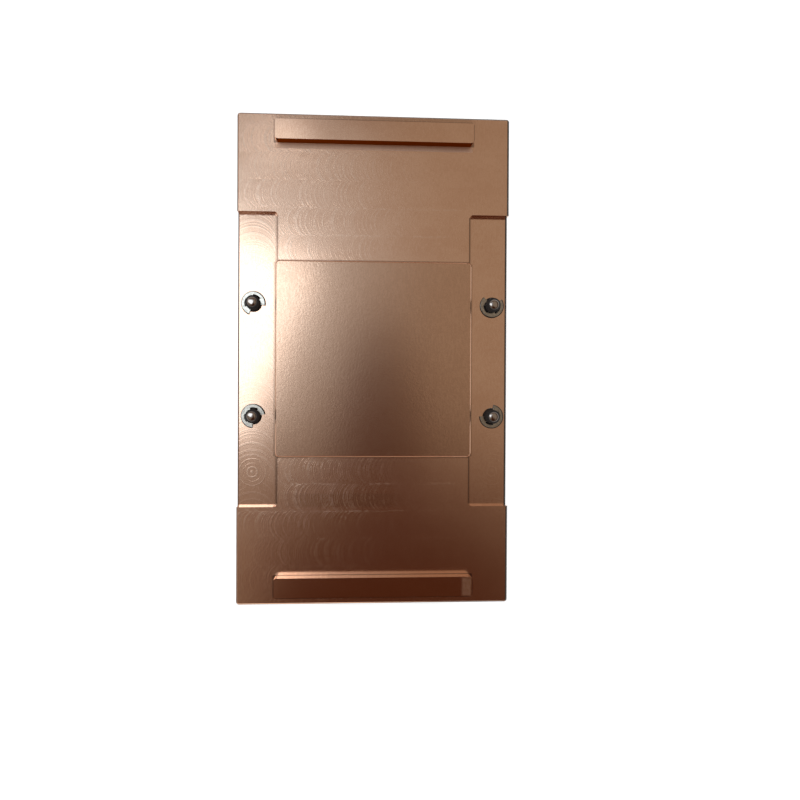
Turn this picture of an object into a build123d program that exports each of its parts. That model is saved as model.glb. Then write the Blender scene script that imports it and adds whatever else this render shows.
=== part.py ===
"""Heat sink for a mezzanine graphics module, lying on its fin tips with the chip side up.

A milled copper base carries a stack of folded aluminium fins, and four captive spring screws
stand in the base's two side ledges, each held by a retaining clip.

Millimetres. X runs across the base, Y along it, Z up. The origin is on the plane of the fin tips,
under the middle of the base.
"""

import os
from math import cos, sin, tau

from build123d import *

# Base plate
base_width = 78.0
base_length = 140.0
base_thickness = 6.0
base_corner_radius = 0.8
base_edge_chamfer = 0.4

# Side ledges, milled down from the main face, open to the sides
ledge_length = 84.2
ledge_depth = 2.8
ledge_corner_radius = 1.0
ledge_edge_chamfer = 0.3

# Raised pad that meets the chip package, a little wider than the land between the ledges
pad_length = 56.1
pad_height = 0.5
pad_shift = 0.2
pad_corner_radius = 1.2
pad_edge_chamfer = 0.3
pad_clip_gap = 3.0
pad_overhang = 0.5

# Bars that meet the power stages at both ends
bar_side_gap = 10.75
bar_width = 5.75
bar_height = 4.2
bar_end_gap = 2.6
bar_corner_radius = 1.0

# Folded fins
fin_height = 45.0
fin_thickness = 0.4
fin_pitch = 2.0
fin_flange_gap = 0.06
fin_fold_bevel = 0.35
fin_side_margin = 1.0
fin_end_margin = 1.0

# Open bays in the stack, one on each side, for the screws and the driver
bay_reach = 4.6
bay_end_reach = 5.8

# Captive screws
screw_side_gap = 4.4
screw_spacing_y = 32.4
shank_diameter = 4.6
shank_hole_clearance = 0.2
thread_diameter = 4.0
screw_tip_length = 3.9
screw_point_height = 0.9
screw_point_diameter = 2.0
screw_head_diameter = 7.2
screw_head_height = 3.0
recess_length = 4.2
recess_floor_length = 2.0
recess_width = 0.9
recess_depth = 1.9

# Retaining clips, snapped into a groove of each screw
clip_diameter = 7.0
clip_thickness = 0.6
clip_mouth_angle = 100.0
clip_lobe_angle = 47.0
clip_back_lobe_angle = 60.0
clip_relief_diameter = 4.8
clip_lift = 0.05
groove_diameter = 3.0
groove_side_clearance = 0.05
groove_radial_clearance = 0.05

# Compression springs between each screw's head and the base
spring_wire = 0.7
spring_inner_clearance = 0.35
spring_length = 9.6
spring_seat_depth = 0.8
spring_seat_clearance = 0.35
spring_end_gap = 0.05
spring_closed_turns = 0.7
spring_open_turns = 3.3
spring_steps_per_turn = 9
spring_wire_sides = 6

# Heights that several pieces share
base_low = fin_height
main_face = base_low + base_thickness
ledge_face = main_face - ledge_depth
spring_seat = base_low + spring_seat_depth
head_face = spring_seat - spring_length
clip_low = ledge_face + clip_lift
clip_high = clip_low + clip_thickness
groove_low = clip_low - groove_side_clearance
groove_high = clip_high + groove_side_clearance
screw_tip = clip_high + screw_tip_length

# Places and widths that several pieces share
screw_spacing_x = base_width - 2 * screw_side_gap
pad_width = screw_spacing_x - clip_diameter - 2 * pad_clip_gap
ledge_width = (base_width - pad_width) / 2 + pad_overhang
bar_length = base_width - 2 * bar_side_gap
spring_mean_radius = shank_diameter / 2 + spring_inner_clearance + spring_wire / 2
spring_outer_radius = spring_mean_radius + spring_wire / 2
bay_inner = screw_spacing_x / 2 - bay_reach
bay_half_length = screw_spacing_y / 2 + bay_end_reach
fin_length = base_length - 2 * fin_end_margin
fin_count = int((base_width - 2 * fin_side_margin) / fin_pitch + 1e-6)

# Each screw's place, as signs of X and Y, and the way its clip's mouth points, in degrees from +X
screw_places = {
    "rear_left": (-1, 1, -61.0),
    "rear_right": (1, 1, 84.0),
    "front_left": (-1, -1, -42.0),
    "front_right": (1, -1, 129.0),
}


def screw_points():
    """The screws' axes on the base plane."""
    return [
        (sign_x * screw_spacing_x / 2, sign_y * screw_spacing_y / 2)
        for sign_x, sign_y, _ in screw_places.values()
    ]


def pad_outline():
    return Pos(0, pad_shift) * RectangleRounded(pad_width, pad_length, pad_corner_radius)


def chip_pad():
    """The raised pad, with its upper edge broken all round."""
    pad = extrude(pad_outline(), pad_height)
    return chamfer(pad.faces().sort_by(Axis.Z)[-1].edges(), pad_edge_chamfer)


def ledge_outline(sign):
    """One ledge, with round inner corners, running out past the side of the base."""
    overrun = base_width / 4
    ledge = RectangleRounded(ledge_width + overrun, ledge_length, ledge_corner_radius)
    middle = base_width / 2 - ledge_width + (ledge_width + overrun) / 2
    return Pos(sign * middle, 0) * ledge


def end_bar(sign):
    """A bar across one end, with round upright corners."""
    middle = base_length / 2 - bar_end_gap - bar_width / 2
    outline = Pos(0, sign * middle) * RectangleRounded(bar_length, bar_width, bar_corner_radius)
    return Pos(0, 0, main_face) * extrude(outline, bar_height)


def base_plate():
    """The copper base: one block, milled on the chip side and bored for the screws."""
    block = extrude(RectangleRounded(base_width, base_length, base_corner_radius), base_thickness)
    block = chamfer(block.faces().sort_by(Axis.Z)[-1].edges(), base_edge_chamfer)
    plate = Pos(0, 0, base_low) * block
    for sign in (-1, 1):
        ledge = ledge_outline(sign) - pad_outline()
        plate -= Pos(0, 0, ledge_face) * extrude(ledge, ledge_depth)
    outer_edges = [
        edge
        for edge in plate.edges().filter_by(Axis.Y)
        if abs(edge.center().Z - ledge_face) < 1e-6 and abs(edge.center().X) > base_width / 2 - 1e-6
    ]
    plate = chamfer(outer_edges, ledge_edge_chamfer)
    plate += Pos(0, 0, main_face) * chip_pad()
    for sign in (-1, 1):
        plate += end_bar(sign)
    hole = Circle(shank_diameter / 2 + shank_hole_clearance)
    seat = Circle(spring_outer_radius + spring_seat_clearance)
    for x, y in screw_points():
        plate -= Pos(x, y, base_low) * extrude(hole, base_thickness)
        plate -= Pos(x, y, base_low) * extrude(seat, spring_seat_depth)
    return plate


def fin(length):
    """A fin folded from sheet: an upright web with a flange along its foot and its tip, both to +X."""
    flange = fin_pitch - fin_flange_gap
    channel_width = flange - fin_thickness
    channel_height = fin_height - 2 * fin_thickness
    section = Pos(flange / 2, fin_height / 2) * Rectangle(flange, fin_height)
    section -= Pos(fin_thickness + channel_width / 2, fin_height / 2) * Rectangle(channel_width, channel_height)
    folds = section.vertices().sort_by(Axis.X)[:2]
    section = chamfer(folds, fin_fold_bevel)
    return extrude(Plane.XZ * section, length / 2, both=True)


def fin_stack():
    """Every fin in its place, by name: full ones between the bays, short ones before and behind them."""
    short_length = fin_length / 2 - bay_half_length
    short_middle = bay_half_length + short_length / 2
    full_fin, short_fin = fin(fin_length), fin(short_length)
    first_web = -fin_count * fin_pitch / 2
    stack = {}
    full_number = 0
    short_numbers = {"left": 0, "right": 0}
    for index in range(fin_count):
        web = first_web + index * fin_pitch
        middle = web + fin_pitch / 2
        if abs(middle) + fin_pitch / 2 <= bay_inner + 1e-6:
            full_number += 1
            stack[f"fin_{full_number:02d}"] = Pos(web, 0, 0) * full_fin
            continue
        side = "left" if middle < 0 else "right"
        short_numbers[side] += 1
        for end, sign in (("front", -1), ("rear", 1)):
            name = f"{end}_{side}_short_fin_{short_numbers[side]}"
            stack[name] = Pos(web, sign * short_middle, 0) * short_fin
    return stack


def captive_screw():
    """A turned screw on the Z axis: head down, shank, clip groove and a blunt tip, with a cross recess."""
    head_low = head_face - screw_head_height
    head_radius, shank_radius = screw_head_diameter / 2, shank_diameter / 2
    groove_radius, thread_radius = groove_diameter / 2, thread_diameter / 2
    section = Polyline(
        (0, head_low),
        (head_radius, head_low),
        (head_radius, head_face),
        (shank_radius, head_face),
        (shank_radius, groove_low),
        (groove_radius, groove_low),
        (groove_radius, groove_high),
        (thread_radius, groove_high),
        (thread_radius, screw_tip - screw_point_height),
        (screw_point_diameter / 2, screw_tip),
        (0, screw_tip),
        close=True,
    )
    screw = revolve(Plane.XZ * make_face(section), Axis.Z)
    slot_side = Polyline(
        (-recess_length / 2, head_low),
        (recess_length / 2, head_low),
        (recess_floor_length / 2, head_low + recess_depth),
        (-recess_floor_length / 2, head_low + recess_depth),
        close=True,
    )
    slot = extrude(Plane.XZ * make_face(slot_side), recess_width / 2, both=True)
    return screw - slot - Rot(0, 0, 90) * slot


def ring_sector(inner_radius, outer_radius, start, sweep):
    """A flat piece of a ring, from the angle start on through sweep degrees."""
    outer = CenterArc((0, 0), outer_radius, start, sweep)
    inner = CenterArc((0, 0), inner_radius, start, sweep)
    sides = [Line(inner @ end, outer @ end) for end in (0, 1)]
    return make_face([outer.edge(), inner.edge()] + [side.edge() for side in sides])


def retaining_clip(mouth_heading):
    """An E-shaped clip on the Z axis: a split ring with three lobes that reach into the groove."""
    lobe_radius = groove_diameter / 2 + groove_radial_clearance
    relief_radius = clip_relief_diameter / 2
    first = mouth_heading + clip_mouth_angle / 2
    relief = (360 - clip_mouth_angle - 2 * clip_lobe_angle - clip_back_lobe_angle) / 2
    ring = ring_sector(lobe_radius, clip_diameter / 2, first, 360 - clip_mouth_angle)
    for start in (first + clip_lobe_angle, first + clip_lobe_angle + relief + clip_back_lobe_angle):
        ring -= ring_sector(lobe_radius / 2, relief_radius, start, relief)
    return Pos(0, 0, clip_low) * extrude(ring, clip_thickness)


def spring():
    """A compression spring on the Z axis, with closed end turns, as a wire along a stepped helix."""
    low = head_face + spring_end_gap + spring_wire / 2
    high = spring_seat - spring_end_gap - spring_wire / 2
    turns = 2 * spring_closed_turns + spring_open_turns
    closed_rise = spring_closed_turns * spring_wire
    steps = round(turns * spring_steps_per_turn)
    points = []
    for step in range(steps + 1):
        turn = turns * step / steps
        if turn < spring_closed_turns:
            z = low + turn * spring_wire
        elif turn > turns - spring_closed_turns:
            z = high - (turns - turn) * spring_wire
        else:
            share = (turn - spring_closed_turns) / spring_open_turns
            z = low + closed_rise + share * (high - low - 2 * closed_rise)
        angle = tau * turn
        points.append((spring_mean_radius * cos(angle), spring_mean_radius * sin(angle), z))
    path = Polyline(*points)
    section = Plane(points[0], z_dir=path % 0) * RegularPolygon(spring_wire / 2, spring_wire_sides)
    return sweep(section, path=path, transition=Transition.RIGHT)


def main():
    nodes = {"base_plate": base_plate(), **fin_stack()}
    screw, coil = captive_screw(), spring()
    for place, (sign_x, sign_y, mouth_heading) in screw_places.items():
        axis = Pos(sign_x * screw_spacing_x / 2, sign_y * screw_spacing_y / 2, 0)
        nodes[f"{place}_captive_screw"] = axis * screw
        nodes[f"{place}_retaining_clip"] = axis * retaining_clip(mouth_heading)
        nodes[f"{place}_spring"] = axis * coil
    os.makedirs("parts", exist_ok=True)
    for name, solid in nodes.items():
        export_step(solid, f"parts/{name}.step")


main()
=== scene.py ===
"""Looks of the heat sink: finishes, threaded screw tips, round-wire springs, floor, light and camera.

Metres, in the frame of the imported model. Material patterns work in millimetres of that frame.
"""

import math

import bmesh
import bpy
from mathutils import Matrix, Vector


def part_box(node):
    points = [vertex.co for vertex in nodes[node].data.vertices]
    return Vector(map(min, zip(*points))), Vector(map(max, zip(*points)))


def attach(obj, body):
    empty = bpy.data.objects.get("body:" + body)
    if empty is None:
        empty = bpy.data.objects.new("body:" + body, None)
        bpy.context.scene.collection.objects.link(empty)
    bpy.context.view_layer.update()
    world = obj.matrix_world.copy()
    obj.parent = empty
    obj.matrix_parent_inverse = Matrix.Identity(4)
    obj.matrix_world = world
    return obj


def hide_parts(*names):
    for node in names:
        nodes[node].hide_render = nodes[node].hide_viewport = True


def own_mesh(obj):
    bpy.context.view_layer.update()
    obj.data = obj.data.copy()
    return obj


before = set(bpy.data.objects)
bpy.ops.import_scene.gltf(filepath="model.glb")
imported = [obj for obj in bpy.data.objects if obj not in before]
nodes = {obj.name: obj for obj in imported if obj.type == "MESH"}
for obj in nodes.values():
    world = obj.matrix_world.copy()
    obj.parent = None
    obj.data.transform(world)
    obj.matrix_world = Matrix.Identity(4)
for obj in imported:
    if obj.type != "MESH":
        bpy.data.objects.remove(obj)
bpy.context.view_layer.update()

MM = 0.001
PLACES = ("rear_left", "rear_right", "front_left", "front_right")
WHITE = (1.0, 1.0, 1.0, 1.0)

# Camera of the photograph, found from the corners of the base
CAMERA_PLACE = (-8.648 * MM, -9.662 * MM, 290.18 * MM)
CAMERA_TURN = (-0.438, -3.879, 0.250)
CAMERA_LENS = 37.469
CAMERA_SENSOR = 36.0
CAMERA_NEAR = 0.01

# Floor and soft light
FLOOR_SIZE = 40.0
FLOOR_COLOUR = (0.93, 0.93, 0.925, 1.0)
FLOOR_ROUGHNESS = 0.9
FLOOR_LIFT = 0.70
SOFT_BOX_PLACE = (-0.238, 0.0995, 0.62)
SOFT_BOX_SIZE = (0.20, 0.385)
SOFT_BOX_POWER = 0.50
SOFT_BOX_COLOUR = (0.80, 0.98, 1.14)

# Room: middles and reaches of its patches are slopes, x/z and y/z of a direction
# Dark spots: middle, reach, share of the reach that is darkest, depth
# Glows: middle, reach, share of the reach that is brightest, colour
HORIZON_COLOUR = (0.80, 0.80, 0.79, 1.0)
RING_LIT_COLOUR = (0.30, 0.27, 0.25, 1.0)
RING_DARK_COLOUR = (0.070, 0.048, 0.036, 1.0)
OVERHEAD_COLOUR = (0.380, 0.330, 0.268, 1.0)
DARK_COLOUR = (0.072, 0.024, 0.010, 1.0)
DARK_SPOTS = (
    ((0.064, -0.36), (0.330, 0.34), 0.5, 1.0),
    ((0.040, -0.088), (0.061, 0.198), 0.63, 0.92),
    ((-0.05, 0.45), (0.26, 0.13), 0.5, 0.6),
)
GLOWS = (
    ((-0.18, 0.16), (0.28, 0.34), 0.2, (0.69, 0.84, 0.98, 1.0)),
    ((-0.080, 0.304), (0.046, 0.030), 0.35, (1.85, 2.15, 2.40, 1.0)),
)
FRONT_GLOW = ((-0.155, -0.20), (0.07, 0.16), 0.2, (0.31, 0.25, 0.205, 1.0))
SPOT_END = 1.2
GLOW_END = 1.1
LEAST_RISE = 0.05
RING_DARKENS = (-0.8, 0.3)
HORIZON_BEGINS = (0.74, 0.42)
OVERHEAD_ENDS = (0.42, 0.75)

# Levels and places on the base, in millimetres
MAIN_FACE = 51.0
PAD_FACE = 51.5
LEDGE_FACE = 48.2
BAR_FACE = 55.2
PAD_SHIFT = 0.2
PAD_HALF_X = 28.1
PAD_HALF_Y = 28.05
BAR_MIDDLE = 64.525
BAR_HALF_X = 28.25
BAR_HALF_Y = 2.875
BAR_INNER = BAR_MIDDLE - BAR_HALF_Y
BAR_OUTER = BAR_MIDDLE + BAR_HALF_Y
LAND_HALF_X = 27.6
LEDGE_HALF_Y = 42.1
CLIP_FACE = 48.85
CLIP_RADIUS = 3.5
SCREW_PLACE = (34.6, 16.2)
TIP_LIT_FROM = 52.62

# Screw tips
THREAD_PITCH = 0.7 * MM
THREAD_DEPTH = 0.40 * MM
THREAD_SLOPE = 1.35
THREAD_CREST = 0.2
THREAD_RUN_IN = 0.8 * THREAD_PITCH
THREAD_SIDES = 64
THREAD_STEPS_PER_PITCH = 12
THREAD_LENGTH = 3.85 * MM
DOME_HEIGHT = 1.15 * MM
DOME_FLAT = 0.28
SCREW_SMOOTH_ANGLE = 40.0
SCREW_WELD = 0.001 * MM
LEVEL_SLACK = 0.01 * MM

# Springs
SPRING_WIRE = 0.7 * MM
SPRING_CLOSED_TURNS = 0.7
SPRING_OPEN_TURNS = 3.3
SPRING_STEPS_PER_TURN = 40
SPRING_SIDES = 16
SPRING_SMOOTH_ANGLE = 50.0

# Rounding of the CAD pieces' edges
EDGE_WELD = 0.002 * MM
EDGE_SEGMENTS = 3
BASE_EDGE_ROUND = 0.2 * MM
BASE_EDGE_ANGLE = 60.0
CLIP_EDGE_ROUND = 0.26 * MM
CLIP_EDGE_ANGLE = 38.0


class Graph:
    """Adds shader nodes to one material, or to the world, and joins them up.

    A ramp's numbers are where it starts, where it ends, and its values before and after.
    A noise's numbers are its scale along x, y and z, its detail and its roughness.
    """

    def __init__(self, owner, shader):
        owner.use_nodes = True
        self.owner = owner
        self.tree = owner.node_tree
        self.shader = self.tree.nodes[shader]

    def put(self, socket, value):
        """Links a socket to another node, or sets it to a constant."""
        if isinstance(value, bpy.types.NodeSocket):
            self.tree.links.new(value, socket)
        else:
            socket.default_value = value

    def math(self, operation, *values):
        node = self.tree.nodes.new("ShaderNodeMath")
        node.operation = operation
        for socket, value in zip(node.inputs, values):
            self.put(socket, value)
        return node.outputs[0]

    def add(self, *values):
        total = values[0]
        for value in values[1:]:
            total = self.math("ADD", total, value)
        return total

    def minus(self, value, less):
        return self.math("SUBTRACT", value, less)

    def rest(self, share):
        """What a share leaves of 1."""
        return self.minus(1.0, share)

    def times(self, *values):
        product = values[0]
        for value in values[1:]:
            product = self.math("MULTIPLY", product, value)
        return product

    def over(self, value, divisor):
        return self.math("DIVIDE", value, divisor)

    def root(self, value):
        return self.math("SQRT", value)

    def absolute(self, value):
        return self.math("ABSOLUTE", value)

    def length(self, first, second):
        """Length of a flat vector."""
        return self.root(self.add(self.times(first, first), self.times(second, second)))

    def most(self, *values):
        largest = values[0]
        for value in values[1:]:
            largest = self.math("MAXIMUM", largest, value)
        return largest

    def above(self, value, limit):
        """1 where value is above limit, else 0."""
        return self.math("GREATER_THAN", value, limit)

    def below(self, value, limit):
        """1 where value is below limit, else 0."""
        return self.math("LESS_THAN", value, limit)

    def between(self, value, low, high):
        """1 where value lies between low and high, else 0."""
        return self.times(self.above(value, low), self.below(value, high))

    def ramp(self, value, low, high, start=0.0, end=1.0):
        """A smooth step of value between low and high, from start to end."""
        node = self.tree.nodes.new("ShaderNodeMapRange")
        node.interpolation_type = "SMOOTHSTEP"
        for socket, number in zip(node.inputs, (value, low, high, start, end)):
            self.put(socket, number)
        return node.outputs[0]

    def point(self):
        """The shaded point's x, y and z in the object's frame, in millimetres."""
        scale = self.tree.nodes.new("ShaderNodeVectorMath")
        scale.operation = "SCALE"
        self.put(scale.inputs[0], self.tree.nodes.new("ShaderNodeTexCoord").outputs["Object"])
        self.put(scale.inputs["Scale"], 1.0 / MM)
        return self.parts(scale.outputs[0])

    def parts(self, vector):
        split = self.tree.nodes.new("ShaderNodeSeparateXYZ")
        self.put(split.inputs[0], vector)
        return tuple(split.outputs)

    def noise(self, point, scales, detail, roughness):
        """Noise in space."""
        place = self.tree.nodes.new("ShaderNodeCombineXYZ")
        for socket, part, scale in zip(place.inputs, point, scales):
            self.put(socket, self.times(part, scale))
        node = self.tree.nodes.new("ShaderNodeTexNoise")
        self.put(node.inputs["Vector"], place.outputs[0])
        return self.set_noise(node, detail, roughness)

    def line_noise(self, value, detail, roughness):
        """Noise along one line."""
        node = self.tree.nodes.new("ShaderNodeTexNoise")
        node.noise_dimensions = "1D"
        self.put(node.inputs["W"], value)
        return self.set_noise(node, detail, roughness)

    def set_noise(self, node, detail, roughness):
        self.put(node.inputs["Scale"], 1.0)
        self.put(node.inputs["Detail"], detail)
        self.put(node.inputs["Roughness"], roughness)
        return node.outputs[0]

    def mix(self, factor, first, second):
        node = self.tree.nodes.new("ShaderNodeMix")
        node.data_type = "RGBA"
        self.put(node.inputs["Factor"], factor)
        self.put(node.inputs["A"], first)
        self.put(node.inputs["B"], second)
        return next(out for out in node.outputs if out.type == "RGBA")

    def bump(self, height_in_mm):
        node = self.tree.nodes.new("ShaderNodeBump")
        node.inputs["Strength"].default_value = 1.0
        node.inputs["Distance"].default_value = MM
        self.put(node.inputs["Height"], height_in_mm)
        self.put(self.shader.inputs["Normal"], node.outputs[0])

    def finish(self, colour, roughness, metallic=1.0):
        self.put(self.shader.inputs["Metallic"], metallic)
        self.put(self.shader.inputs["Base Color"], colour)
        self.put(self.shader.inputs["Roughness"], roughness)
        return self.owner


def material_graph(name):
    return Graph(bpy.data.materials.new(name), "Principled BSDF")


# Colours of the copper, and of the painted shade and highlight laid on it
COPPER = (0.87, 0.55, 0.385, 1.0)
COPPER_DULL = (0.76, 0.44, 0.29, 1.0)
COPPER_PAD = (0.62, 0.37, 0.245, 1.0)
# painted shade for the rear bar's inner wall, and a dark red tint on its reflection
COPPER_WALL_SHADE = (0.30, 0.085, 0.03, 1.0)
WALL_SHADE_TINT = (0.66, 0.44, 0.17, 1.0)
# lighter copper for the cutter marks: partly their own tone, partly painted highlight
COPPER_MARK_HIGHLIGHT = (0.97, 0.72, 0.56, 1.0)
# painted shade colours: for the chamfers and the lines along walls, and deeper for the chamfers to the
# right
COPPER_SHADE = (0.16, 0.085, 0.055, 1.0)
COPPER_DEEP_SHADE = (0.035, 0.020, 0.013, 1.0)

# Cutter lines on the main face, in millimetres
CUTTER_RADIUS = 4.8
RIDGE_SPACING = 1.25
LINE_NOISE = (1.0, 0.5)
NOISE_MIDDLE = 0.5
LINE_WIDTH = (0.0, 0.05, 1.0, 0.0)
PASS_PITCH = 7.8
PASS_START = 35.6
PASS_SEED_STEP = 31.7
PASS_RIM = (0.5 * PASS_PITCH - 0.42, 0.5 * PASS_PITCH - 0.1)
BACK_LINES_BEGIN = (-20.0, -34.0)
BACK_LINES_SHARE = 0.35
ARCS_TO_LEFT = (24.0, -24.0, 0.15, 1.0)
ARCS_IN_PATCHES = (0.36, 0.58, 0.4, 1.0)
ARCS_NEAR_FRONT = (-42.0, -50.0, 1.0, 0.65)
WEAR_SEED = 5.0
WEAR_NOISE = ((0.55, 0.75, 1.0), 3.0, 0.65)
WEAR_OF_ARCS = (0.36, 0.56, 0.3, 1.15)

# Dotted steps between the passes, in millimetres
RUNS_SEED = 3.0
RUNS_NOISE = ((0.12, 0.30, 1.0), 2.0, 0.5)
RUNS_SHOW = (0.42, 0.56)
DOTS_SEED = 7.0
DOTS_NOISE = ((0.9, 1.8, 1.0), 2.0, 0.6)
DOTS_SHOW = (0.40, 0.60)
STEPS_END_X = (22.0, 28.0, 1.0, 0.0)
STEPS_END_Y = (44.5, 50.0, 1.0, 0.3)

# Cutter lines on the ledges, in millimetres
LEDGE_PASS = 34.8
LEDGE_PASS_END = -32.4
LEDGE_CUTTER_SQUARED = 46.0
LEDGE_LINE_SPREAD = 0.7
LEDGE_LINE_SEED = 5.3
LEDGE_LINE_SHARE = 0.6
LEDGE_RING_SEED = 11.9
LEDGE_LINES_TO_LEFT = (-10.0, 10.0, 0.85, 0.35)

# Painted shade along the feet of walls, round the pad and on its edge, and on the bars' rims, in
# millimetres
BAR_SHADE_LINE = (0.25, 0.7, 0.85, 0.0)
FRONT_FOOT_SHADE_LINE = (0.06, 0.20, 0.7, 0.0)
REAR_STRIP_SHADE = (BAR_HALF_X - 2.0, BAR_HALF_X + 2.0, 0.3, 0.0)
PAD_SHADE_LINE = (0.14, 0.42, 0.75, 0.0)
LAND_SHADE_HALF_X = 0.22
LAND_SHADE_HALF_Y = 41.2
BAR_RIM_WIDTH = 0.24
BAR_RIM_DEPTH = 0.22
BAR_RIM_SHADE = 0.6
LEDGE_FOOT = (0.50, 0.95, 1.0, 0.0)
LEDGE_FOOT_SHADE = 0.55
PAD_EDGE_SLACK = 0.02
PAD_EDGE_REACH = 30.0
PAD_EDGE_SHADE = 0.4
SHADE_LINE_STRENGTH = 0.8

# Chamfered outer edges, with painted shade on them that deepens to the right, and the sides below them, in
# millimetres
EDGE_X = 38.62
RIGHT_EDGE_X = 38.42
EDGE_Y = 69.62
EDGE_DEPTH = 0.42
BRIGHT_EDGE_DEPTH = 0.24
BRIGHT_EDGE_TO_LEFT = (20.0, -20.0, 0.3, 1.0)
EDGE_SHADE_DEEPENS = (0.0, 30.0)
EDGE_SHADE_DULLING = 0.9
FLANK_NOISE = ((1.7, 1.7, 0.08), 3.0, 0.7)
FLANK_STAINS = (0.3, 0.7)
FLANK_STAIN_SHARE = 0.35

# Rubbed patch on the front bar, dull pass, and painted shade on the inner wall of the rear bar, in
# millimetres
RUBBED_MIDDLE = (26.5, -64.4)
RUBBED_HALF = (1.3, 2.6)
RUBBED_RAGGED = 0.9
RUBBED_FADES = (0.15, 0.85, 1.0, 0.0)
RUBBED_PITS = (0.36, 0.6, 0.6, 1.0)
DULL_PASS = (-8.0, -40.2)
DULL_PASS_LENGTH = (10.0, 20.0, 0.4, 0.0)
DULL_PASS_WIDTH = (1.5, 2.3, 1.0, 0.0)
REAR_WALL_Z = (MAIN_FACE + 0.2, BAR_FACE - 0.15)
REAR_WALL_Y = (BAR_INNER - 0.3, BAR_INNER + 0.1)
BAR_FOOT_WIDTH = 1.5

# Faces, grain and patches of the copper
MAIN_SLACK = 0.2
FACE_SLACK = 0.1
GRAIN_NOISE = ((2.6, 0.7, 1.0), 2.0, 0.65)
GRAIN_SHARE = 0.6
SPECKLE_NOISE = ((2.6, 2.6, 1.0), 2.0, 0.65)
SPECKLE_SHARE = 0.5
FINE_MIDDLE = 0.55
PITS_NOISE = ((2.0, 1.6, 1.0), 2.0, 0.6)
PATCHES_NOISE = ((0.10, 0.13, 1.0), 2.0, 0.55)
PATCHES_SHARE = 0.5
DULL_SHARE = (0.62, 0.98, 0.2, 0.8)
PAD_SHARE = (0.44, 0.68, 0.58, 0.82)
# how much lighter the cutter marks are: partly their own tone, partly painted highlight
MARKS_HIGHLIGHT = 0.22

# Heights of the copper's marks, in millimetres
RIDGE_HEIGHT = 0.0035
STEPS_SHARE = 0.5
FINE_HEIGHT = 0.0001
PAD_FINE_HEIGHT = 0.0004
PAD_PITS_HEIGHT = 0.0062
MAIN_PITS_HEIGHT = 0.0038
MAIN_PITS_TO_LEFT = (25.0, -15.0, 0.15, 1.0)
FLANK_HEIGHT = 0.007

# Roughness of plain copper, and how much rougher each zone is
COPPER_ROUGHNESS = 0.13
MAIN_ROUGHER = 0.02
PAD_ROUGHER = 0.01
BAR_ROUGHER = -0.01
BAR_FOOT_ROUGHER = 0.26
MARKS_ROUGHER = 0.04
STEPS_ROUGHER = 0.05
EDGE_ROUGHER = 0.12
PAD_EDGE_ROUGHER = 0.22
RUBBED_ROUGHER = 0.15
FLANK_ROUGHER = 0.25
FINE_ROUGHER = 0.02
PAD_FINE_ROUGHER = 0.08


def cutter_lines(graph, phase, seed):
    """Thin uneven lines where the tool edge passed: 1 on a line, 0 between lines."""
    wander = graph.line_noise(graph.add(graph.over(phase, RIDGE_SPACING), seed), *LINE_NOISE)
    return graph.ramp(graph.absolute(graph.minus(wander, NOISE_MIDDLE)), *LINE_WIDTH)


def pass_place(graph, across):
    """The number of the cutter's pass at a point, and the point's distance from the pass's middle."""
    share = graph.over(graph.minus(across, PASS_START), PASS_PITCH)
    number = graph.math("FLOOR", share)
    offset = graph.times(graph.minus(graph.minus(share, number), 0.5), PASS_PITCH)
    return number, offset


def pass_lines(graph, along, number, offset, heading):
    """Lines of a turning cutter: arcs of its radius, side by side along each pass."""
    arc = graph.root(graph.minus(CUTTER_RADIUS ** 2, graph.times(offset, offset)))
    phase = graph.add(along, graph.times(arc, heading))
    return cutter_lines(graph, phase, graph.times(number, PASS_SEED_STEP))


def main_face_marks(graph, x, y, patches):
    """Cutter lines of the main face, clearest to the left, and the dotted steps between passes."""
    across = graph.absolute(y)
    number, offset = pass_place(graph, across)
    lines = pass_lines(graph, x, number, offset, 1.0)
    back_lines = pass_lines(graph, x, number, offset, -1.0)
    near_front = graph.ramp(y, *BACK_LINES_BEGIN)
    arcs = graph.add(lines, graph.times(back_lines, near_front, BACK_LINES_SHARE))
    wear = graph.noise((x, y, WEAR_SEED), *WEAR_NOISE)
    arcs = graph.times(arcs, graph.ramp(wear, *WEAR_OF_ARCS), graph.ramp(y, *ARCS_NEAR_FRONT))
    clear = graph.times(graph.ramp(x, *ARCS_TO_LEFT), graph.ramp(patches, *ARCS_IN_PATCHES))

    rim = graph.ramp(graph.absolute(offset), *PASS_RIM)
    near_pad = graph.times(graph.ramp(graph.absolute(x), *STEPS_END_X), graph.ramp(across, *STEPS_END_Y))
    runs = graph.noise((x, y, RUNS_SEED), *RUNS_NOISE)
    dots = graph.noise((x, y, DOTS_SEED), *DOTS_NOISE)
    steps = graph.times(rim, near_pad, graph.ramp(runs, *RUNS_SHOW), graph.ramp(dots, *DOTS_SHOW))
    return graph.times(clear, arcs), steps


def ledge_marks(graph, x, y):
    """Cutter lines along the ledges: arcs of the pass, and rings where the cutter stopped."""
    across = graph.minus(graph.absolute(x), LEDGE_PASS)
    arc_squared = graph.minus(LEDGE_CUTTER_SQUARED, graph.times(across, across))
    arc = graph.root(graph.most(arc_squared, 0.0))
    phase = graph.times(graph.minus(y, arc), LEDGE_LINE_SPREAD)
    lines = cutter_lines(graph, phase, LEDGE_LINE_SEED)
    reach = graph.length(across, graph.minus(y, LEDGE_PASS_END))
    rings = cutter_lines(graph, reach, LEDGE_RING_SEED)
    in_rings = graph.below(reach, CUTTER_RADIUS)
    marks = graph.add(
        graph.times(in_rings, rings),
        graph.times(graph.rest(in_rings), lines, LEDGE_LINE_SHARE),
    )
    return graph.times(marks, graph.ramp(x, *LEDGE_LINES_TO_LEFT))


def beyond_box(graph, x, y, half_x, half_y):
    """How far a point lies outside a box about the origin, below 0 inside it."""
    past_x = graph.minus(graph.absolute(x), half_x)
    past_y = graph.minus(graph.absolute(y), half_y)
    return graph.most(past_x, past_y)


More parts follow.
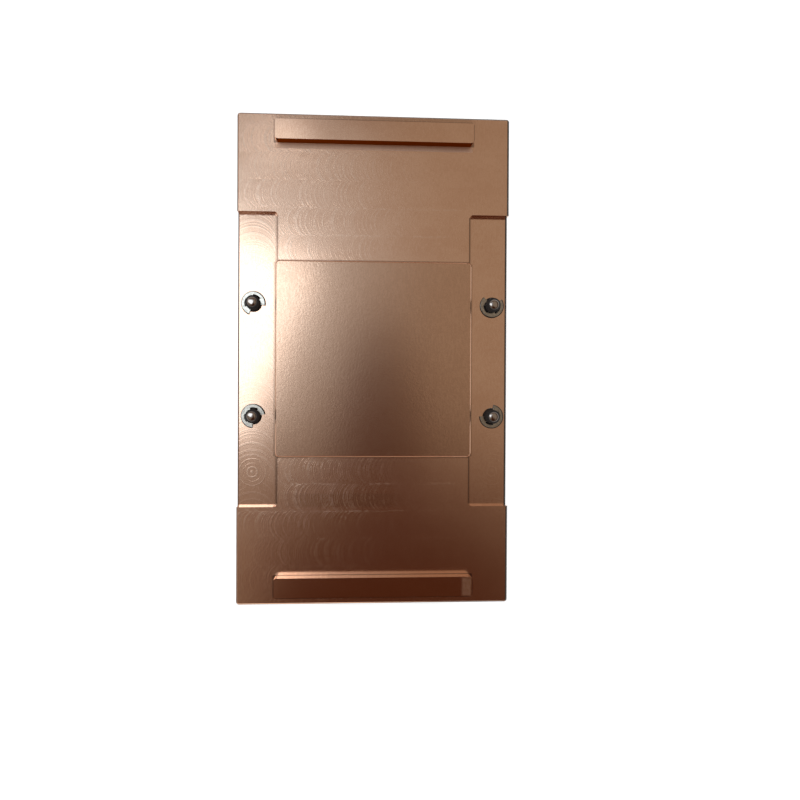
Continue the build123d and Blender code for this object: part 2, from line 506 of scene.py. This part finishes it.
def shade_lines(graph, x, y):
    """Painted shade lines on the main face: round the bars and the pad, behind the rear bar, and along the
    ledges' inner edges.
    """
    to_bar = graph.minus(graph.absolute(y), BAR_MIDDLE)
    past_bar = beyond_box(graph, x, to_bar, BAR_HALF_X, BAR_HALF_Y)
    beside_bar = graph.times(graph.above(to_bar, -BAR_HALF_Y), graph.ramp(past_bar, *BAR_SHADE_LINE))
    front_foot = graph.times(graph.below(y, 0.0), graph.ramp(past_bar, *FRONT_FOOT_SHADE_LINE))
    behind_rear = graph.above(y, BAR_OUTER)
    rear_strip = graph.times(behind_rear, graph.ramp(graph.absolute(x), *REAR_STRIP_SHADE))
    past_pad = beyond_box(graph, x, graph.minus(y, PAD_SHIFT), PAD_HALF_X, PAD_HALF_Y)
    round_pad = graph.ramp(past_pad, *PAD_SHADE_LINE)
    to_land_edge = graph.minus(graph.absolute(x), LAND_HALF_X)
    past_land = beyond_box(graph, to_land_edge, y, LAND_SHADE_HALF_X, LAND_SHADE_HALF_Y)
    by_land = graph.below(past_land, 0.0)
    return graph.most(beside_bar, front_foot, rear_strip, by_land, round_pad)


def bar_rim(graph, x, y, z):
    """Painted shade on the top edge of each bar, along its ends and its outer side."""
    to_bar = graph.minus(graph.absolute(y), BAR_MIDDLE)
    past_end = graph.minus(graph.absolute(x), BAR_HALF_X - BAR_RIM_WIDTH)
    past_side = graph.minus(to_bar, BAR_HALF_Y - BAR_RIM_WIDTH)
    on_rim = graph.above(graph.most(past_end, past_side), 0.0)
    return graph.times(on_rim, graph.above(z, BAR_FACE - BAR_RIM_DEPTH))


def ledge_foot(graph, x, y):
    """Painted shade at the foot of the wall along each ledge."""
    off_pad = graph.above(graph.absolute(graph.minus(y, PAD_SHIFT)), PAD_HALF_Y)
    wall = graph.minus(PAD_HALF_X, graph.times(off_pad, PAD_HALF_X - LAND_HALF_X))
    return graph.ramp(graph.minus(graph.absolute(x), wall), *LEDGE_FOOT)


def edge_zone(graph, x, y, z):
    """The chamfers round the chip side and the ledges, which get painted shade.

    The upper half of the front one is left out of the painted shade, most of all to the left, so it stays
    bright.
    """
    past_side = graph.most(graph.below(x, -EDGE_X), graph.above(x, RIGHT_EDGE_X))
    past_end = graph.above(graph.absolute(y), EDGE_Y)
    by_ledge = graph.below(graph.absolute(y), LEDGE_HALF_Y)
    top = graph.minus(MAIN_FACE, graph.times(by_ledge, MAIN_FACE - LEDGE_FACE))
    near_top = graph.above(z, graph.minus(top, EDGE_DEPTH))
    bright = graph.times(
        graph.below(y, -EDGE_Y),
        graph.above(z, MAIN_FACE - BRIGHT_EDGE_DEPTH),
        graph.ramp(x, *BRIGHT_EDGE_TO_LEFT),
    )
    return graph.times(graph.most(past_side, past_end), near_top, graph.rest(bright))


def rubbed_patch(graph, x, y, speckle, pits):
    """A ragged patch near the right end of the front bar, rubbed dull."""
    from_middle = [graph.minus(place, middle) for place, middle in zip((x, y), RUBBED_MIDDLE)]
    past_box = beyond_box(graph, *from_middle, *RUBBED_HALF)
    past_patch = graph.add(past_box, graph.times(speckle, RUBBED_RAGGED))
    return graph.times(graph.ramp(past_patch, *RUBBED_FADES), graph.ramp(pits, *RUBBED_PITS))


def dull_pass(graph, x, y):
    """A stretch of one pass in front of the pad that the cutter left dull."""
    along, across = [
        graph.absolute(graph.minus(place, middle)) for place, middle in zip((x, y), DULL_PASS)
    ]
    return graph.times(graph.ramp(along, *DULL_PASS_LENGTH), graph.ramp(across, *DULL_PASS_WIDTH))


def copper():
    """Copper with the marks of the cutter on the main face and the ledges, and a fine grain on the pad. It
    carries painted shade on its chamfers, along the feet of walls, round and on the pad's edge, on the
    bars' rims and on the rear bar's inner wall.
    """
    graph = material_graph("copper_milled")
    point = graph.point()
    x, y, z = point
    on_main = graph.between(z, MAIN_FACE - MAIN_SLACK, MAIN_FACE + MAIN_SLACK)
    on_pad = graph.between(z, PAD_FACE - FACE_SLACK, PAD_FACE + FACE_SLACK)
    on_ledge = graph.between(z, LEDGE_FACE - FACE_SLACK, LEDGE_FACE + FACE_SLACK)
    on_bar = graph.above(z, BAR_FACE - FACE_SLACK)
    on_edge = edge_zone(graph, x, y, z)
    on_side = graph.times(
        graph.below(z, MAIN_FACE - EDGE_DEPTH),
        graph.above(beyond_box(graph, x, y, EDGE_X, EDGE_Y), 0.0),
    )
    # the pad's chamfer and wall, which get painted shade
    pad_edge = graph.times(
        graph.between(z, MAIN_FACE + PAD_EDGE_SLACK, PAD_FACE - PAD_EDGE_SLACK),
        graph.below(beyond_box(graph, x, y, PAD_EDGE_REACH, PAD_EDGE_REACH), 0.0),
    )
    bar_foot = graph.times(
        on_main,
        graph.between(y, BAR_INNER - BAR_FOOT_WIDTH, BAR_INNER),
        graph.below(graph.absolute(x), BAR_HALF_X),
    )
    # the rear bar's inner wall, facing away from the light, gets painted shade
    rear_wall_shade = graph.times(graph.between(z, *REAR_WALL_Z), graph.between(y, *REAR_WALL_Y))
    # painted shade: lines along the feet of walls and round the pad, the pad's chamfer, and the bars' rims
    painted_shade = graph.add(
        graph.times(on_main, shade_lines(graph, x, y)),
        graph.times(on_ledge, ledge_foot(graph, x, y), LEDGE_FOOT_SHADE),
        graph.times(pad_edge, PAD_EDGE_SHADE),
        graph.times(bar_rim(graph, x, y, z), BAR_RIM_SHADE),
    )

    grain = graph.noise(point, *GRAIN_NOISE)
    speckle = graph.noise(point, *SPECKLE_NOISE)
    fine = graph.add(graph.times(grain, GRAIN_SHARE), graph.times(speckle, SPECKLE_SHARE))
    pits = graph.noise(point, *PITS_NOISE)
    patches = graph.noise(point, *PATCHES_NOISE)
    flank = graph.noise(point, *FLANK_NOISE)
    clear_main = graph.times(on_main, graph.rest(bar_foot))
    arcs, steps = main_face_marks(graph, x, y, patches)
    steps = graph.times(clear_main, steps)
    marks = graph.add(
        graph.times(clear_main, arcs),
        graph.times(on_ledge, ledge_marks(graph, x, y)),
    )
    rubbed = graph.times(on_bar, rubbed_patch(graph, x, y, speckle, pits))

    main_pits = graph.times(clear_main, graph.ramp(x, *MAIN_PITS_TO_LEFT), MAIN_PITS_HEIGHT)
    graph.bump(
        graph.add(
            graph.times(graph.add(marks, graph.times(steps, STEPS_SHARE)), RIDGE_HEIGHT),
            graph.times(fine, graph.add(FINE_HEIGHT, graph.times(on_pad, PAD_FINE_HEIGHT))),
            graph.times(graph.add(graph.times(on_pad, PAD_PITS_HEIGHT), main_pits), pits),
            graph.times(on_side, flank, FLANK_HEIGHT),
        )
    )
    fine_rougher = graph.add(FINE_ROUGHER, graph.times(on_pad, PAD_FINE_ROUGHER))
    roughness = graph.add(
        COPPER_ROUGHNESS,
        graph.times(on_main, MAIN_ROUGHER),
        graph.times(on_pad, PAD_ROUGHER),
        graph.times(on_bar, BAR_ROUGHER),
        graph.times(bar_foot, BAR_FOOT_ROUGHER),
        graph.times(marks, MARKS_ROUGHER),
        graph.times(steps, STEPS_ROUGHER),
        graph.times(on_edge, EDGE_ROUGHER),
        graph.times(pad_edge, PAD_EDGE_ROUGHER),
        graph.times(rubbed, RUBBED_ROUGHER),
        graph.times(on_side, flank, FLANK_ROUGHER),
        graph.times(graph.minus(fine, FINE_MIDDLE), fine_rougher),
    )

    dull = graph.ramp(graph.add(graph.times(patches, PATCHES_SHARE), fine), *DULL_SHARE)
    colour = graph.mix(dull, COPPER, COPPER_DULL)
    colour = graph.mix(graph.times(on_pad, graph.ramp(fine, *PAD_SHARE)), colour, COPPER_PAD)
    stained = graph.times(on_side, graph.ramp(flank, *FLANK_STAINS), FLANK_STAIN_SHARE)
    colour = graph.mix(stained, colour, COPPER_PAD)
    colour = graph.mix(graph.times(on_main, dull_pass(graph, x, y)), colour, COPPER_PAD)
    # cutter marks made lighter: partly their own tone, partly painted highlight
    bright = graph.add(graph.times(marks, MARKS_HIGHLIGHT), graph.times(steps, MARKS_HIGHLIGHT))
    colour = graph.mix(bright, colour, COPPER_MARK_HIGHLIGHT)
    # lay the painted shade lines
    colour = graph.mix(graph.times(painted_shade, SHADE_LINE_STRENGTH), colour, COPPER_SHADE)
    # painted shade on the rear bar's inner wall
    colour = graph.mix(rear_wall_shade, colour, COPPER_WALL_SHADE)
    # painted shade on the chamfers, deeper to the right, where the metal is also dulled to darken it
    # further
    to_right = graph.ramp(x, *EDGE_SHADE_DEEPENS)
    colour = graph.mix(on_edge, colour, graph.mix(to_right, COPPER_SHADE, COPPER_DEEP_SHADE))
    shade_dulling = graph.times(on_edge, to_right, EDGE_SHADE_DULLING)
    # painted shade: the rear bar's inner wall reflects with a dark red tint
    graph.put(graph.shader.inputs["Specular Tint"], graph.mix(rear_wall_shade, WHITE, WALL_SHADE_TINT))
    return graph.finish(colour, roughness, graph.rest(shade_dulling))


# Fin sheet
FIN_LIGHT = (0.82, 0.83, 0.84, 1.0)
FIN_DARK = (0.66, 0.67, 0.69, 1.0)
STREAKS_NOISE = ((0.7, 0.05, 5.0), 3.0, 0.6)
MOTTLE_NOISE = ((1.0, 0.25, 0.25), 3.0, 0.6)
STREAKS_HEIGHT = 0.004
FIN_ROUGHNESS = 0.24
STREAKS_ROUGHER = 0.18


def fin_aluminium():
    """Rolled sheet aluminium, with faint streaks along the fin and a light mottling."""
    graph = material_graph("fin_aluminium_rolled")
    point = graph.point()
    streaks = graph.noise(point, *STREAKS_NOISE)
    mottle = graph.noise(point, *MOTTLE_NOISE)
    graph.bump(graph.times(streaks, STREAKS_HEIGHT))
    colour = graph.mix(mottle, FIN_LIGHT, FIN_DARK)
    roughness = graph.add(FIN_ROUGHNESS, graph.times(streaks, STREAKS_ROUGHER))
    return graph.finish(colour, roughness)


# Steel of the springs, screws and clips
RINGS_PER_MM = 9.0
RINGS_NOISE = (2.0, 0.6)
STAINS_NOISE = ((1.3, 1.3, 1.3), 3.0, 0.6)
CLIP_STAINS_NOISE = ((1.6, 1.6, 1.6), 3.0, 0.6)
STAINS_SHOW = (0.35, 0.7)
STEEL_MARKS_HEIGHT = 0.0008
SPRING_LIGHT = (0.60, 0.60, 0.59, 1.0)
SPRING_DARK = (0.36, 0.36, 0.36, 1.0)
SPRING_ROUGHNESS = 0.22
SPRING_STAINS_ROUGHER = 0.10
SCREW_LIGHT = (0.36, 0.35, 0.345, 1.0)
SCREW_DARK = (0.22, 0.215, 0.21, 1.0)
# painted highlight colour for the tip, and painted shade colour for the groove and thread
SCREW_TIP_LIT = (0.44, 0.36, 0.31, 1.0)
SCREW_THREAD_SHADE = (0.035, 0.030, 0.028, 1.0)
TIP_BEGINS = (TIP_LIT_FROM - 0.15, TIP_LIT_FROM)
THREAD_BEGINS = (LEDGE_FACE - 0.4, LEDGE_FACE)
SCREW_ROUGHNESS = 0.04
SCREW_STAINS_ROUGHER = 0.04
SCREW_THREAD_ROUGHER = 0.4
SCREW_SPECULAR = 0.1
CLIP_LIGHT = (0.50, 0.43, 0.36, 1.0)
CLIP_DARK = (0.34, 0.29, 0.24, 1.0)
# painted shade colour for the clips' edges and for the outer rim away from the light
CLIP_EDGE_SHADE = (0.02, 0.016, 0.013, 1.0)
CLIP_EDGE_SHADE_Z = (CLIP_FACE - 0.025, CLIP_FACE - 0.005, 1.0, 0.0)
CLIP_RIM_SHADE_REACH = (CLIP_RADIUS - 0.32, CLIP_RADIUS - 0.2)
CLIP_RIM_SHADE_SIDE = (-2.5, 1.0, 0.2, 1.0)
CLIP_RIM_SHADE_LEAN = 0.6
CLIP_ROUGHNESS = 0.10
CLIP_STAINS_ROUGHER = 0.10
CLIP_EDGE_SHADE_ROUGHER = 0.4
CLIP_SPECULAR = 0.2


def turned_marks(graph, point):
    """Raises faint turning rings and small stains, and gives back the stains."""
    rings = graph.line_noise(graph.times(point[2], RINGS_PER_MM), *RINGS_NOISE)
    stains = graph.noise(point, *STAINS_NOISE)
    graph.bump(graph.times(graph.add(rings, stains), STEEL_MARKS_HEIGHT))
    return stains


def spring_steel():
    """Bright steel with faint rings and small stains."""
    graph = material_graph("spring_steel_bright")
    stains = turned_marks(graph, graph.point())
    colour = graph.mix(graph.ramp(stains, *STAINS_SHOW), SPRING_LIGHT, SPRING_DARK)
    roughness = graph.add(SPRING_ROUGHNESS, graph.times(stains, SPRING_STAINS_ROUGHER))
    return graph.finish(colour, roughness)


def shaded_screw_steel():
    """Dark steel with turning rings, painted near-black in the groove and thread as painted shade, and
    painted lighter and warmer on the tip as painted highlight.
    """
    graph = material_graph("screw_steel_dark_shaded")
    point = graph.point()
    stains = turned_marks(graph, point)
    on_tip = graph.ramp(point[2], *TIP_BEGINS)
    thread_shade = graph.times(graph.rest(on_tip), graph.ramp(point[2], *THREAD_BEGINS))
    colour = graph.mix(graph.ramp(stains, *STAINS_SHOW), SCREW_LIGHT, SCREW_DARK)
    # tip painted lighter and warmer as painted highlight; groove and thread painted near-black as painted
    # shade
    colour = graph.mix(on_tip, colour, SCREW_TIP_LIT)
    colour = graph.mix(thread_shade, colour, SCREW_THREAD_SHADE)
    roughness = graph.add(
        SCREW_ROUGHNESS,
        graph.times(stains, SCREW_STAINS_ROUGHER),
        graph.times(thread_shade, SCREW_THREAD_ROUGHER),
    )
    graph.shader.inputs["Specular IOR Level"].default_value = SCREW_SPECULAR
    return graph.finish(colour, roughness, graph.rest(thread_shade))


def clip_steel():
    """Stamped spring steel: bright flats, with painted shade on the edges below the top, and on the outer
    rim on the side away from the light.
    """
    graph = material_graph("clip_steel_stamped")
    point = graph.point()
    x, y, z = point
    stains = graph.noise(point, *CLIP_STAINS_NOISE)
    from_x, from_y = [
        graph.minus(part, graph.times(graph.math("SIGN", part), place))
        for part, place in zip((x, y), SCREW_PLACE)
    ]
    # painted shade on the outer rim, strongest to the right and front, away from the light, and on the
    # edges below the top
    to_shade = graph.minus(from_x, graph.times(from_y, CLIP_RIM_SHADE_LEAN))
    rim_shade = graph.times(
        graph.ramp(graph.length(from_x, from_y), *CLIP_RIM_SHADE_REACH),
        graph.ramp(to_shade, *CLIP_RIM_SHADE_SIDE),
    )
    edge_shade = graph.most(graph.ramp(z, *CLIP_EDGE_SHADE_Z), rim_shade)
    graph.bump(graph.times(stains, STEEL_MARKS_HEIGHT))
    colour = graph.mix(graph.ramp(stains, *STAINS_SHOW), CLIP_LIGHT, CLIP_DARK)
    colour = graph.mix(edge_shade, colour, CLIP_EDGE_SHADE)
    roughness = graph.add(
        CLIP_ROUGHNESS,
        graph.times(stains, CLIP_STAINS_ROUGHER),
        graph.times(edge_shade, CLIP_EDGE_SHADE_ROUGHER),
    )
    graph.shader.inputs["Specular IOR Level"].default_value = CLIP_SPECULAR
    return graph.finish(colour, roughness, graph.rest(edge_shade))


def floor_white():
    """A pale floor that the camera, metal and glass see lifted to white, with its shadow kept."""
    graph = material_graph("floor_white")
    rays = graph.tree.nodes.new("ShaderNodeLightPath").outputs
    seen = graph.most(rays["Is Camera Ray"], rays["Is Glossy Ray"], rays["Is Transmission Ray"])
    graph.shader.inputs["Emission Color"].default_value = WHITE
    graph.put(graph.shader.inputs["Emission Strength"], graph.times(seen, FLOOR_LIFT))
    return graph.finish(FLOOR_COLOUR, FLOOR_ROUGHNESS, 0.0)


def give(obj, material):
    """Puts one material on every slot of an object."""
    if not obj.material_slots:
        obj.data.materials.append(material)
    for slot in obj.material_slots:
        slot.material = material


def soften_edges(obj, width, angle):
    """Rounds a machined piece's sharp edges a little, for the light to catch."""
    weld = obj.modifiers.new("weld", "WELD")
    weld.merge_threshold = EDGE_WELD
    bevel = obj.modifiers.new("bevel", "BEVEL")
    bevel.width = width
    bevel.segments = EDGE_SEGMENTS
    bevel.limit_method = "ANGLE"
    bevel.angle_limit = math.radians(angle)
    bevel.harden_normals = True
    bevel.use_clamp_overlap = True


def piece_from(name, mesh_data, material):
    """A new smooth-shaded object from a bmesh."""
    mesh = bpy.data.meshes.new(name)
    mesh_data.to_mesh(mesh)
    mesh_data.free()
    mesh.polygons.foreach_set("use_smooth", [True] * len(mesh.polygons))
    mesh.materials.append(material)
    obj = bpy.data.objects.new(name, mesh)
    bpy.context.scene.collection.objects.link(obj)
    return obj


def ring_of(mesh_data, centre, radii, z):
    """One ring of points round a screw's axis, at height z."""
    ring = []
    for index, radius in enumerate(radii):
        angle = math.tau * index / len(radii)
        x = centre.x + radius * math.cos(angle)
        y = centre.y + radius * math.sin(angle)
        ring.append(mesh_data.verts.new((x, y, z)))
    return ring


def join_rings(mesh_data, lower, upper):
    count = len(lower)
    for index in range(count):
        follow = (index + 1) % count
        mesh_data.faces.new((lower[index], lower[follow], upper[follow], upper[index]))


def thread_radius(radius, angle_share, height):
    """Radius of the thread at a share of a turn and a height above its start."""
    place = (height / THREAD_PITCH - angle_share) % 1.0
    valley = 1.0 - abs(2.0 * place - 1.0)
    valley = min(1.0, max(0.0, THREAD_SLOPE * valley - THREAD_CREST))
    run_in = min(1.0, height / THREAD_RUN_IN)
    cut = radius - THREAD_DEPTH * valley * run_in
    to_tip = THREAD_LENGTH - height
    if to_tip < DOME_HEIGHT:
        rise = 1.0 - to_tip / DOME_HEIGHT
        dome = radius * (DOME_FLAT + (1.0 - DOME_FLAT) * math.sqrt(max(0.0, 1.0 - rise * rise)))
        cut = min(cut, dome)
    return cut


def threaded_screw(place, material):
    """A screw with the CAD node's head, shank and groove, and a cut thread with a domed end."""
    node = f"{place}_captive_screw"
    low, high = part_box(node)
    centre = (low + high) / 2
    thread_start = high.z - THREAD_LENGTH
    mesh_data = bmesh.new()
    mesh_data.from_mesh(nodes[node].data)
    bmesh.ops.remove_doubles(mesh_data, verts=mesh_data.verts, dist=SCREW_WELD)
    above = [v for v in mesh_data.verts if v.co.z > thread_start + LEVEL_SLACK]
    bmesh.ops.delete(mesh_data, geom=above, context="VERTS")
    rim = max((v.co.xy - centre.xy).length for v in mesh_data.verts if v.co.z > thread_start - LEVEL_SLACK)
    steps = round(THREAD_LENGTH / THREAD_PITCH * THREAD_STEPS_PER_PITCH)
    previous = None
    for step in range(steps + 1):
        height = THREAD_LENGTH * step / steps
        radii = [thread_radius(rim, index / THREAD_SIDES, height) for index in range(THREAD_SIDES)]
        ring = ring_of(mesh_data, centre, radii, thread_start + height)
        if previous:
            join_rings(mesh_data, previous, ring)
        previous = ring
    mesh_data.faces.new(previous)
    bmesh.ops.recalc_face_normals(mesh_data, faces=mesh_data.faces)
    screw = piece_from(f"{place}_screw_threaded", mesh_data, material)
    screw.data.set_sharp_from_angle(angle=math.radians(SCREW_SMOOTH_ANGLE))
    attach(screw, f"{place}_screw")
    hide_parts(node)


def spring_height(turn, low, high):
    """Height of the wire's middle after so many turns, with closed turns at both ends."""
    turns = 2 * SPRING_CLOSED_TURNS + SPRING_OPEN_TURNS
    closed_rise = SPRING_CLOSED_TURNS * SPRING_WIRE
    if turn < SPRING_CLOSED_TURNS:
        return low + turn * SPRING_WIRE
    if turn > turns - SPRING_CLOSED_TURNS:
        return high - (turns - turn) * SPRING_WIRE
    share = (turn - SPRING_CLOSED_TURNS) / SPRING_OPEN_TURNS
    return low + closed_rise + share * (high - low - 2 * closed_rise)


def wire_spring(place, material):
    """A round-wire spring in the place of the CAD node's stepped one."""
    node = f"{place}_spring"
    low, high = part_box(node)
    centre = (low + high) / 2
    radius = (high.x - low.x) / 2 - SPRING_WIRE / 2
    turns = 2 * SPRING_CLOSED_TURNS + SPRING_OPEN_TURNS
    steps = round(turns * SPRING_STEPS_PER_TURN)
    wire_low = low.z + SPRING_WIRE / 2
    wire_high = high.z - SPRING_WIRE / 2
    up = Vector((0, 0, 1))
    mesh_data = bmesh.new()
    previous = None
    for step in range(steps + 1):
        turn = turns * step / steps
        angle = math.tau * turn
        outward = Vector((math.cos(angle), math.sin(angle), 0))
        middle = Vector((centre.x, centre.y, spring_height(turn, wire_low, wire_high))) + outward * radius
        ring = []
        for side in range(SPRING_SIDES):
            lean = math.tau * side / SPRING_SIDES
            offset = outward * math.cos(lean) + up * math.sin(lean)
            ring.append(mesh_data.verts.new(middle + offset * SPRING_WIRE / 2))
        if previous:
            join_rings(mesh_data, previous, ring)
        else:
            mesh_data.faces.new(ring)
        previous = ring
    mesh_data.faces.new(previous)
    bmesh.ops.recalc_face_normals(mesh_data, faces=mesh_data.faces)
    spring = piece_from(f"{place}_spring_wire", mesh_data, material)
    spring.data.set_sharp_from_angle(angle=math.radians(SPRING_SMOOTH_ANGLE))
    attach(spring, "heat_sink")
    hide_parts(node)
    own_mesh(spring)


def dress_parts():
    """Gives every piece its finish and swaps in the finer screws and springs."""
    copper_finish = copper()
    fin_finish = fin_aluminium()
    clip_finish = clip_steel()
    screw_finish = shaded_screw_steel()
    spring_finish = spring_steel()
    for name, obj in nodes.items():
        if "fin" in name:
            give(obj, fin_finish)
    give(nodes["base_plate"], copper_finish)
    soften_edges(nodes["base_plate"], BASE_EDGE_ROUND, BASE_EDGE_ANGLE)
    for place in PLACES:
        clip = nodes[f"{place}_retaining_clip"]
        give(clip, clip_finish)
        soften_edges(clip, CLIP_EDGE_ROUND, CLIP_EDGE_ANGLE)
        give(nodes[f"{place}_captive_screw"], screw_finish)
        give(nodes[f"{place}_spring"], spring_finish)
        threaded_screw(place, screw_finish)
        wire_spring(place, spring_finish)


def floor():
    mesh_data = bmesh.new()
    bmesh.ops.create_grid(mesh_data, x_segments=1, y_segments=1, size=FLOOR_SIZE / 2)
    sheet = piece_from("floor", mesh_data, floor_white())


def lights():
    """One soft box, up on the left."""
    lamp = bpy.data.lights.new("soft_box", "AREA")
    lamp.shape = "RECTANGLE"
    lamp.size, lamp.size_y = SOFT_BOX_SIZE
    lamp.energy = SOFT_BOX_POWER
    lamp.color = SOFT_BOX_COLOUR
    box = bpy.data.objects.new("soft_box", lamp)
    box.location = SOFT_BOX_PLACE
    aim = Vector((0.0, 0.0, MAIN_FACE * MM)) - Vector(SOFT_BOX_PLACE)
    box.rotation_euler = aim.to_track_quat("-Z", "Y").to_euler()
    bpy.context.scene.collection.objects.link(box)


def patch_distance(graph, slopes, middle, reach):
    """How far a direction lies from a patch's middle, where the patch's reach is 1."""
    offsets = [
        graph.over(graph.minus(slope, place), size) for slope, place, size in zip(slopes, middle, reach)
    ]
    return graph.length(*offsets)


def lay_glow(graph, slopes, colour, glow):
    """Lays one glow over a colour."""
    middle, reach, core, glow_colour = glow
    share = graph.ramp(patch_distance(graph, slopes, middle, reach), core, GLOW_END, 1.0, 0.0)
    return graph.mix(share, colour, glow_colour)


def room():
    """A room that is pale at the horizon, dim above it, darkest to the right and front, patchy overhead."""
    world = bpy.data.worlds.new("pale_room")
    bpy.context.scene.world = world
    graph = Graph(world, "Background")
    x, y, z = graph.parts(graph.tree.nodes.new("ShaderNodeTexCoord").outputs["Generated"])
    rise = graph.most(z, LEAST_RISE)
    slopes = [graph.over(part, rise) for part in (x, y)]
    light_share = graph.times(
        *[
            graph.ramp(patch_distance(graph, slopes, middle, reach), core, SPOT_END, 1.0 - depth, 1.0)
            for middle, reach, core, depth in DARK_SPOTS
        ]
    )
    overhead = OVERHEAD_COLOUR
    for glow in GLOWS:
        overhead = lay_glow(graph, slopes, overhead, glow)
    overhead = graph.mix(light_share, DARK_COLOUR, overhead)
    overhead = lay_glow(graph, slopes, overhead, FRONT_GLOW)
    to_dark_side = graph.minus(x, y)
    ring = graph.mix(graph.ramp(to_dark_side, *RING_DARKENS), RING_LIT_COLOUR, RING_DARK_COLOUR)
    lower = graph.mix(graph.ramp(z, *HORIZON_BEGINS), ring, HORIZON_COLOUR)
    colour = graph.mix(graph.ramp(graph.length(*slopes), *OVERHEAD_ENDS), overhead, lower)
    graph.put(graph.shader.inputs["Color"], colour)
    graph.shader.inputs["Strength"].default_value = 1.0


def camera():
    data = bpy.data.cameras.new("camera")
    data.sensor_width = CAMERA_SENSOR
    data.lens = CAMERA_LENS
    data.clip_start = CAMERA_NEAR
    view = bpy.data.objects.new("camera", data)
    view.location = CAMERA_PLACE
    view.rotation_euler = [math.radians(turn) for turn in CAMERA_TURN]
    bpy.context.scene.collection.objects.link(view)
    bpy.context.scene.camera = view


dress_parts()
floor()
lights()
room()
camera()
bpy.context.scene.view_settings.view_transform = "Standard"
